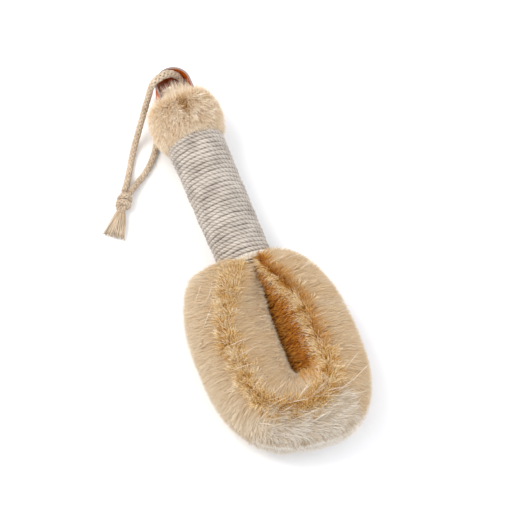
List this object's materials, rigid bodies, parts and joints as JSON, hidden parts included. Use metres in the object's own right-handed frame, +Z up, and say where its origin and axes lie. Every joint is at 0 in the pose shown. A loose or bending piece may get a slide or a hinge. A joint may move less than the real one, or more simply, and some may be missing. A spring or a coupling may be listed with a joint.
{
  "type": "body dry brush",
  "caption": "Plant-fibre body brush: oval looped bristle head on a twisted wire core, cotton-wrapped grip, tufted collar, bent strip hanging eye and knotted cord loop.",
  "frame": {"origin": "centre of the box of the brush without its hanging cord, on the surface that it lies on", "axes": "+Y along the handle from the head to the hanging eye, +Z up from the surface, +X across the head"},
  "size_m": [0.113, 0.2552, 0.046],
  "materials": {
    "core_wire": "galvanised round wire, two strands twisted together",
    "head_fibre": "undyed plant fibre, cut and tousled on the crest, combed smooth on the sides",
    "bound_fibre": "undyed plant fibre pressed tight under the wrap",
    "collar_fibre": "undyed plant fibre, trimmed round",
    "binding_wire": "soft annealed wire",
    "wrap_cotton": "undyed twisted cotton cord in close turns",
    "eye_copper": "thin bent copper strip, darkened inside",
    "cord_cotton": "undyed braided cotton cord",
    "tassel_cotton": "unravelled cotton ends"
  },
  "bodies": {
    "root": {"wire_strand_a": "core_wire", "wire_strand_b": "core_wire", "head_bristles": "head_fibre", "grip_bristles_left": "bound_fibre", "grip_bristles_right": "bound_fibre", "collar_bristles_left": "collar_fibre", "collar_bristles_right": "collar_fibre", "neck_binding": "binding_wire", "collar_binding": "binding_wire", "cotton_wrap": "wrap_cotton", "eye_strip": "eye_copper", "hanging_cord": "cord_cotton", "cord_knot": "cord_cotton", "cord_tassel": "tassel_cotton"}
  },
  "joints": []
}
